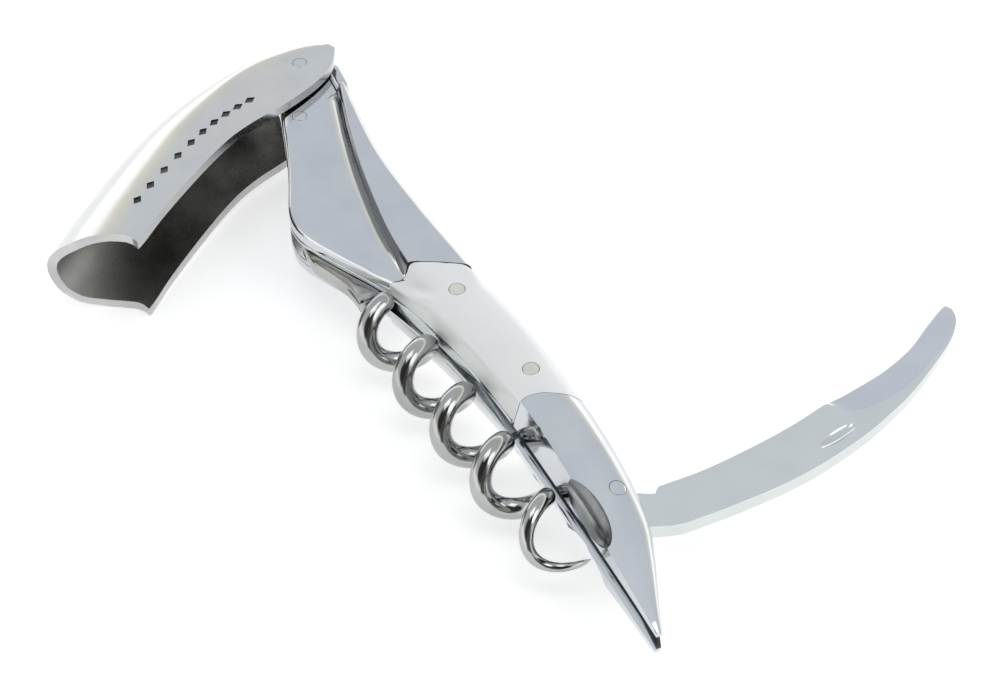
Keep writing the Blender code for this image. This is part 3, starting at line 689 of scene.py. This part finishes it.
LEVER_STATIONS = (
    ((-1.2, 6.3), (-3.0, 5.4), 0.6),
    ((2.3, 4.4), (-5.0, 1.65), 1.8),
    ((5.0, 1.2), (-5.5, -2.5), 2.4),
    ((7.2, -2.8), (-5.5, -6.1), 3.0),
    ((9.1, -7.2), (-5.0, -9.95), 4.0),
    ((10.6, -11.4), (-3.7, -14.7), 5.5),
    ((12.6, -15.5), (-1.4, -20.0), 6.8),
    ((15.6, -19.8), (1.8, -25.6), 8.2),
    ((19.8, -25.0), (6.9, -32.0), 9.4),
    ((24.4, -30.3), (12.4, -38.0), 10.2),
    ((28.0, -34.0), (17.4, -43.2), 10.6),
    ((29.3, -35.5), (21.5, -47.2), 10.8),
)


def lever_rows(steps=12):
    """Return the lever's rows: lip, spine and rounding, smooth along its length."""
    flat = [(*lip, *spine, bend) for lip, spine, bend in LEVER_STATIONS]
    path = spline(flat, steps)
    return [(row[:2], row[2:4], row[4]) for row in path]


def lever_half(lip):
    """Return half the lever's width where a lip is: it widens away from the hinge."""
    return 5.6 + 1.7 * min(1.0, math.hypot(*lip) / 46.0)


def lever_section(lip, spine, rounding):
    """Return the outer points of a U section and the outward normal at each."""
    depth = float(np.linalg.norm(spine - lip))
    along = (spine - lip) / depth
    half = lever_half(lip)
    bend = min(max(rounding, 0.5), depth * 0.85)
    flat_end = depth - bend
    spots = []
    for share in np.linspace(0, 1, 9)[:-1]:
        spots.append((flat_end * share, half, 0.0, 1.0))
    stub = math.acos(min(0.98, 4.3 / half))
    angles = list(np.linspace(0, stub, 8, endpoint=False))
    angles += list(np.linspace(stub, math.pi / 2, 14))
    for a in angles:
        normal = np.array([math.sin(a) / bend, math.cos(a) / half])
        normal /= np.linalg.norm(normal)
        spots.append((flat_end + bend * math.sin(a), half * math.cos(a), *normal))
    spots += [(d, -z, nd, -nz) for d, z, nd, nz in spots[-2::-1]]
    points, normals = [], []
    for d, z, nd, nz in spots:
        point = lip + along * d
        points.append((point[0], point[1], z))
        normals.append((along[0] * nd, along[1] * nd, nz))
    return np.array(points), np.array(normals)


def end_warp(depth):
    """Return how far the lever's end stands out at a depth from its lips: two soft hooks."""
    return np.interp(depth, (0.0, 1.0, 2.1, 4.3, 7.5, 9.9, 12.5, 14.1),
                     (0.0, -0.78, -1.14, -1.08, -0.55, 0.25, 0.39, 0.0))


def prism(outline, low, high):
    """Return an upright prism between two heights."""
    return loft("prism", [[(x, y, low) for x, y in outline], [(x, y, high) for x, y in outline]])


def engraving(shell, rows):
    """Return cutters for a plain ornament on the flat flank: a chain of small diamonds."""
    height = surface_over(shell)
    cutters = []
    for row in range(54, 112, 6):
        lip, spine, _ = rows[row]
        inward = (spine - lip) / np.linalg.norm(spine - lip)
        ahead = rows[row + 1][0] - rows[row - 1][0]
        ahead = ahead / np.linalg.norm(ahead)
        centre = lip + inward * 4.4
        outline = [centre + ahead * 1.0, centre + inward * 0.7, centre - ahead * 1.0,
                   centre - inward * 0.7]
        diamond = prism(outline, height(*centre) - 0.22, height(*centre) + 1.0)
        paint(diamond, LEVER_OUT, LEVER_IN)
        for face in diamond.data.polygons:
            face.material_index = 1
        cutters.append(diamond)
    return cutters


def make_lever():
    """Make the bent sheet, with a bridge and an open window in its web, and its pin."""
    rows = lever_rows()
    outer, inner, kept = [], [], []
    heading = np.array([0.832, -0.555, 0.0])
    end_spine = rows[-1][1]
    for lip, spine, rounding in rows:
        points, normals = lever_section(lip, spine, rounding)
        near_end = float(ease(np.linalg.norm(spine - end_spine), 9.0, 0.0))
        depths = (points[:, :2] - lip) @ ((spine - lip) / np.linalg.norm(spine - lip))
        points = points + heading * (end_warp(depths) * near_end)[:, None]
        outer.append(points)
        inner.append(points - normals * LEVER_SHEET)
        radius = math.hypot(*spine)
        kept.append(10.2 < radius < 13.2 or radius > 24.2)
    outer, inner = np.array(outer), np.array(inner)
    row_count, column_count = outer.shape[:2]
    web = [16 <= column < column_count - 17 for column in range(column_count - 1)]

    def is_solid(row, column):
        if not (0 <= row < row_count - 1 and 0 <= column < column_count - 1):
            return False
        return not web[column] or (kept[row] and kept[row + 1])

    points = np.vstack([outer.reshape(-1, 3), inner.reshape(-1, 3)])
    shift = row_count * column_count
    faces, indices = [], []
    for row in range(row_count - 1):
        for column in range(column_count - 1):
            if not is_solid(row, column):
                continue
            a = row * column_count + column
            b, c, d = a + 1, a + column_count + 1, a + column_count
            faces += [(a, b, c, d), (a + shift, d + shift, c + shift, b + shift)]
            indices += [0, 1]
            for (p, q), (near_row, near_column) in (((a, b), (row - 1, column)),
                                                    ((b, c), (row, column + 1)),
                                                    ((c, d), (row + 1, column)),
                                                    ((d, a), (row, column - 1))):
                if not is_solid(near_row, near_column):
                    faces.append((p, p + shift, q + shift, q))
                    indices.append(2)
    shell = mesh_piece("lever_shell", points, faces, indices)
    shape = bmesh.new()
    shape.from_mesh(shell.data)
    loose = [vert for vert in shape.verts if not vert.link_faces]
    bmesh.ops.delete(shape, geom=loose, context="VERTS")
    shape.to_mesh(shell.data)
    shape.free()
    paint(shell, LEVER_OUT, LEVER_IN, RIM)
    make_pin("lever_pivot_pin", "lever", HINGE_PIN, surface_over(shell), "polished_steel",
             MIRROR)
    cut(shell, drill(HINGE_PIN, FINE_HOLE), *engraving(shell, rows))
    dress(shell, "lever", "lever_shell", "sheet_steel", angle=45)


# ---------------------------------------------------------------- worm

WIRE_RADIUS = 1.45
WORM_RADIUS = 3.25
WORM_PITCH = 10.1
WORM_TOP = (59.0, -8.0)
WORM_TILT = math.radians(5.5)
WORM_LAST = 4.0


def worm_point(along, across, height):
    """Return the plan place of a spot given along and across the worm's axis."""
    x = WORM_TOP[0] + along * math.cos(WORM_TILT) - across * math.sin(WORM_TILT)
    y = WORM_TOP[1] + along * math.sin(WORM_TILT) + across * math.cos(WORM_TILT)
    return (x, y, height)


def make_worm():
    """Make the wire, straight at its root and tapering to its point, and the flat tang."""
    spots = [((-15.5, 0.0, 0.0), 1.05), ((-12.6, 0.0, 0.0), 1.05), ((-11.4, 0.02, 0.08), 1.12),
             ((-10.2, 0.15, 0.75), 1.32)]
    for turn in np.linspace(-0.80, WORM_LAST, 58):
        radius = WORM_RADIUS * (1.0 - 0.12 * max(0.0, (turn - 1.4) / 2.55))
        angle = 2 * math.pi * turn
        left = min(1.0, (WORM_LAST - turn) / 1.25)
        thick = WIRE_RADIUS * (0.03 + 0.97 * left ** 0.55)
        along = WORM_PITCH * turn + 1.1 * max(0.0, turn - 2.6)
        spots.append(((along, radius * math.cos(angle), radius * math.sin(angle)), thick))
    path = spline([(*worm_point(*centre), thick) for centre, thick in spots], 7)
    rings = []
    side = Vector((0.0, 0.0, 1.0))
    for index, row in enumerate(path):
        before, after = path[max(index - 1, 0)], path[min(index + 1, len(path) - 1)]
        heading = Vector(after[:3] - before[:3]).normalized()
        side = (side - heading * side.dot(heading)).normalized()
        other = heading.cross(side)
        ring = []
        for a in np.linspace(0, 2 * math.pi, 28, endpoint=False):
            point = Vector(row[:3]) + (side * math.cos(a) + other * math.sin(a)) * row[3]
            ring.append(tuple(point))
        rings.append(ring)
    wire = loft("worm", rings)
    dress(wire, "worm", "worm", "worm_steel", WIRE)

    outline = (arc(WORM_PIN, 3.3, 80, 250, 24)
               + [tuple(p) for p in spline([(33.0, -12.9), (37.0, -12.9), (41.0, -11.4),
                                            (44.5, -10.2), (47.4, -10.0)], 6)]
               + [tuple(p) for p in spline([(47.4, -7.0), (42.0, -6.1), (36.0, -5.7),
                                            (31.6, -5.7)], 6)])
    tang = slab("worm_tang", outline, -CORE_HALF, CORE_HALF, 0.25)
    cut(tang, drill(WORM_PIN))
    dress(tang, "worm", None, "worm_steel", WIRE)


# ---------------------------------------------------------------- blade

# Rows run from the tang to the point, as (edge, back) places from the blade's pin. The blade's
# rows add how thin the edge is and how thick the back, and the point's rows how far the ground
# facet reaches and how thick the back is.
BLADE_HALF = 1.1
TANG_ROWS = (
    ((-0.9, -4.0), (0.9, -4.0)), ((-2.0, -3.55), (2.0, -3.6)), ((-3.0, -2.7), (3.0, -2.8)),
    ((-3.7, -1.6), (3.7, -1.8)), ((-3.95, -0.3), (4.1, -0.6)), ((-3.6, 0.8), (4.2, 0.6)),
    ((-2.9, 1.7), (4.4, 1.8)), ((-1.9, 2.6), (4.8, 3.0)), ((-1.0, 3.4), (5.2, 4.0)),
    ((-0.45, 4.3), (5.45, 4.7)), ((-0.1, 5.0), (5.6, 5.2)), ((0.1, 5.5), (5.7, 5.7)),
    ((-0.35, 5.9), (5.85, 6.3)),
)
BLADE_ROWS = (
    ((-0.75, 6.4), (5.95, 7.0), 1.0, 1.0),
    ((-0.7, 13.0), (6.0, 14.0), 0.98, 1.0),
    ((-1.4, 20.5), (5.7, 21.5), 0.96, 1.0),
    ((-2.4, 27.0), (4.8, 28.0), 0.93, 1.0),
    ((-3.8, 33.1), (3.4, 34.0), 0.90, 1.0),
)
POINT_ROWS = (
    ((-3.85, 33.5), (3.3, 34.3), 0.06, 1.0),
    ((-4.25, 35.3), (2.7, 36.3), 0.42, 0.99),
    ((-4.7, 37.5), (1.8, 38.8), 0.60, 0.97),
    ((-5.9, 43.2), (-0.3, 44.0), 0.76, 0.92),
    ((-7.9, 48.8), (-3.4, 49.8), 0.86, 0.86),
    ((-10.4, 53.1), (-6.4, 54.6), 0.92, 0.80),
    ((-12.0, 56.0), (-8.6, 57.1), 0.95, 0.74),
    ((-12.7, 57.5), (-10.2, 58.2), 0.96, 0.70),
    ((-12.75, 58.2), (-11.6, 58.6), 0.96, 0.66),
)


GRIND_SHARES = (0.0, 0.04, 0.10, 0.20, 0.38, 0.65, 1.0)
FLAT_SHARES = tuple(np.linspace(0.12, 1.0, 8))
RING_COUNT = 2 * (len(GRIND_SHARES) + len(FLAT_SHARES))
GROUND_COLUMNS = len(GRIND_SHARES) - 1


def blade_ring(row, grind, thin, ground):
    """Return one section, edge to back: flat, or from the grind line on ground to an edge."""
    edge, back, thick = np.array(row[:2]), np.array(row[2:4]), BLADE_HALF * row[4]
    ring = []
    shares = [grind * part for part in GRIND_SHARES]
    shares += [grind + (1 - grind) * part for part in FLAT_SHARES]
    for share in shares:
        half = thick * (thin + (1 - thin) * min(1.0, share * 1.6))
        if ground and share < grind:
            depth = 1 - share / grind
            half = thick * (1 - 0.16 * depth)
            half *= 0.2 + 0.8 * min(1.0, (1 - depth) / 0.10) ** 0.7
        ring.append((*(edge + (back - edge) * share), half))
    return ring + [(x, y, -z) for x, y, z in ring[::-1]]


def make_blade():
    """Make the blade from its tang to its point, and cut its hole and nail nick."""
    rings = [blade_ring((*edge, *back, 1.0), 0.3, 1.0, False) for edge, back in TANG_ROWS]
    for row in spline([(*edge, *back, thick, thin)
                       for edge, back, thin, thick in BLADE_ROWS], 8):
        rings.append(blade_ring(row, 0.06, row[5], False))
    first_ground = len(rings)
    for row in spline([(*edge, *back, thick, grind)
                       for edge, back, grind, thick in POINT_ROWS], 9):
        rings.append(blade_ring(row, row[5], 1.0, True))
    blade = loft("blade", np.array(rings) + (BLADE_PIN[0], BLADE_PIN[1], 0.0))
    paint(blade, BLADE, EDGE, MIRROR)
    for face in blade.data.polygons:
        row, column = divmod(face.index, RING_COUNT)
        near_edge = column < GROUND_COLUMNS or column > RING_COUNT - 2 - GROUND_COLUMNS
        face.material_index = int(row >= first_ground and near_edge)
    nick = ellipsoid((BLADE_PIN[0] + 1.7, BLADE_PIN[1] + 31.6, BLADE_HALF + 0.5),
                     (1.05, 4.0, 0.85), 13.0)
    paint(nick, BLADE, EDGE, MIRROR)
    for face in nick.data.polygons:
        face.material_index = 2
    cut(blade, drill(BLADE_PIN, FINE_HOLE), nick)
    soften_edges(blade, 0.2, 50)
    dress(blade, "blade", "blade", "blade_steel", angle=24)


# ---------------------------------------------------------------- studio

FLOOR_HALF = 0.9


def make_floor():
    """Make a plain square table top at height 0."""
    corners = [(PLAN_ORIGIN[0] + x * FLOOR_HALF, PLAN_ORIGIN[1] + y * FLOOR_HALF, 0.0)
               for x, y in ((-1, -1), (1, -1), (1, 1), (-1, 1))]
    mesh = bpy.data.meshes.new("floor")
    mesh.from_pydata(corners, [], [(0, 1, 2, 3)])
    floor = bpy.data.objects.new("floor", mesh)
    bpy.context.scene.collection.objects.link(floor)
    floor.data.materials.append(pale_floor("floor"))


def area_light(name, spot, target, size, power):
    data = bpy.data.lights.new(name, "AREA")
    data.shape = "RECTANGLE"
    data.size, data.size_y = size
    data.energy = power
    light = bpy.data.objects.new(name, data)
    light.location = spot
    light.rotation_euler = (Vector(target) - Vector(spot)).to_track_quat("-Z", "Y").to_euler()
    bpy.context.scene.collection.objects.link(light)


CAMERA_LENS = 72.17
CAMERA_TARGET = (61.2, 5.0, 0.0)
CAMERA_DISTANCE = 0.275
CAMERA_HEADING = Vector((-0.6276, 0.2977, -0.7193))

# Brightness of the studio by height, as (sine of the elevation, colour). Then the patches round
# the table, as (direction, cosine where it starts, cosine where it is full, colour): a dark card
# where the camera stands, a dark card off the nose, a bright box, and a grey card off the belly.
SKY_BANDS = ((-1.0, (1.10, 1.10, 1.10)), (0.0, (1.25, 1.25, 1.25)), (0.10, (1.5, 1.5, 1.5)),
             (0.35, (1.5, 1.5, 1.47)), (0.44, (0.95, 0.92, 0.81)), (0.55, (0.84, 0.82, 0.75)),
             (0.62, (0.73, 0.765, 0.82)),
             (0.88, (0.76, 0.80, 0.83)), (0.97, (0.82, 0.84, 0.89)), (1.0, (1.1, 1.1, 1.1)))
SKY_PATCHES = ((-CAMERA_HEADING, 0.72, 0.90, (0.05, 0.05, 0.05)),
               ((0.97, 0.05, 0.10), 0.80, 0.95, (0.12, 0.12, 0.11)),
               ((0.60, 0.50, 0.60), 0.955, 0.975, (2.4, 2.4, 2.4)),
               ((-0.77, -0.60, 0.15), 0.93, 0.97, (0.28, 0.29, 0.29)))
SKY_LIMIT = 2.5


def make_sky():
    """A studio all round: bands of brightness by height, with cards and a box set in them."""
    world = bpy.data.worlds.new("studio")
    world.use_nodes = True
    tree = world.node_tree
    background = tree.nodes["Background"]
    direction = tree.nodes.new("ShaderNodeTexCoord").outputs["Generated"]
    split = tree.nodes.new("ShaderNodeSeparateXYZ")
    tree.links.new(direction, split.inputs["Vector"])
    lift = tree.nodes.new("ShaderNodeMapRange")
    lift.inputs["From Min"].default_value = -1.0
    tree.links.new(split.outputs["Z"], lift.inputs["Value"])
    ramp = tree.nodes.new("ShaderNodeValToRGB")
    tree.links.new(lift.outputs["Result"], ramp.inputs["Fac"])
    while len(ramp.color_ramp.elements) < len(SKY_BANDS):
        ramp.color_ramp.elements.new(0.5)
    for stop, (height, colour) in zip(ramp.color_ramp.elements, SKY_BANDS):
        stop.position = (height + 1) / 2
        stop.color = (*(part / SKY_LIMIT for part in colour), 1.0)
    colour_so_far = ramp.outputs["Color"]
    for place, start, full, colour in SKY_PATCHES:
        nearness = tree.nodes.new("ShaderNodeVectorMath")
        nearness.operation = "DOT_PRODUCT"
        nearness.inputs[1].default_value = Vector(place).normalized()
        tree.links.new(direction, nearness.inputs[0])
        share = tree.nodes.new("ShaderNodeMapRange")
        share.interpolation_type = "SMOOTHSTEP"
        share.inputs["From Min"].default_value = start
        share.inputs["From Max"].default_value = full
        tree.links.new(nearness.outputs["Value"], share.inputs["Value"])
        mix = tree.nodes.new("ShaderNodeMix")
        mix.data_type = "RGBA"
        tree.links.new(share.outputs["Result"], mix.inputs[0])
        tree.links.new(colour_so_far, mix.inputs[6])
        mix.inputs[7].default_value = (*(part / SKY_LIMIT for part in colour), 1.0)
        colour_so_far = mix.outputs[2]
    tree.links.new(colour_so_far, background.inputs["Color"])
    background.inputs["Strength"].default_value = SKY_LIMIT
    bpy.context.scene.world = world


def make_studio():
    make_sky()
    area_light("overhead", (0.10, 0.0, 0.9), (0, 0, 0), (0.5, 0.5), 1.0)


def make_camera():
    """Place the camera at the photograph's viewing angle."""
    data = bpy.data.cameras.new("camera")
    data.sensor_width = 36.0
    data.lens = CAMERA_LENS
    camera = bpy.data.objects.new("camera", data)
    bpy.context.scene.collection.objects.link(camera)
    target = Vector(PLAN_ORIGIN + np.array(CAMERA_TARGET) * MM)
    heading = CAMERA_HEADING.normalized()
    camera.location = target - heading * CAMERA_DISTANCE
    camera.rotation_euler = heading.to_track_quat("-Z", "Y").to_euler()
    bpy.context.scene.camera = camera
    bpy.context.scene.view_settings.view_transform = "Standard"


def dress_kept_nodes():
    """Give the CAD nodes that stay, hidden between the plates, a worked steel finish."""
    for name, material in (("lever_cam", CORE), ("spring_pin", CORE), ("worm_pivot_pin", MIRROR)):
        for slot in frame["nodes"][name].material_slots:
            slot.material = material


make_handle()
make_springs()
make_lever()
make_worm()
make_blade()
dress_kept_nodes()
make_floor()
make_studio()
make_camera()
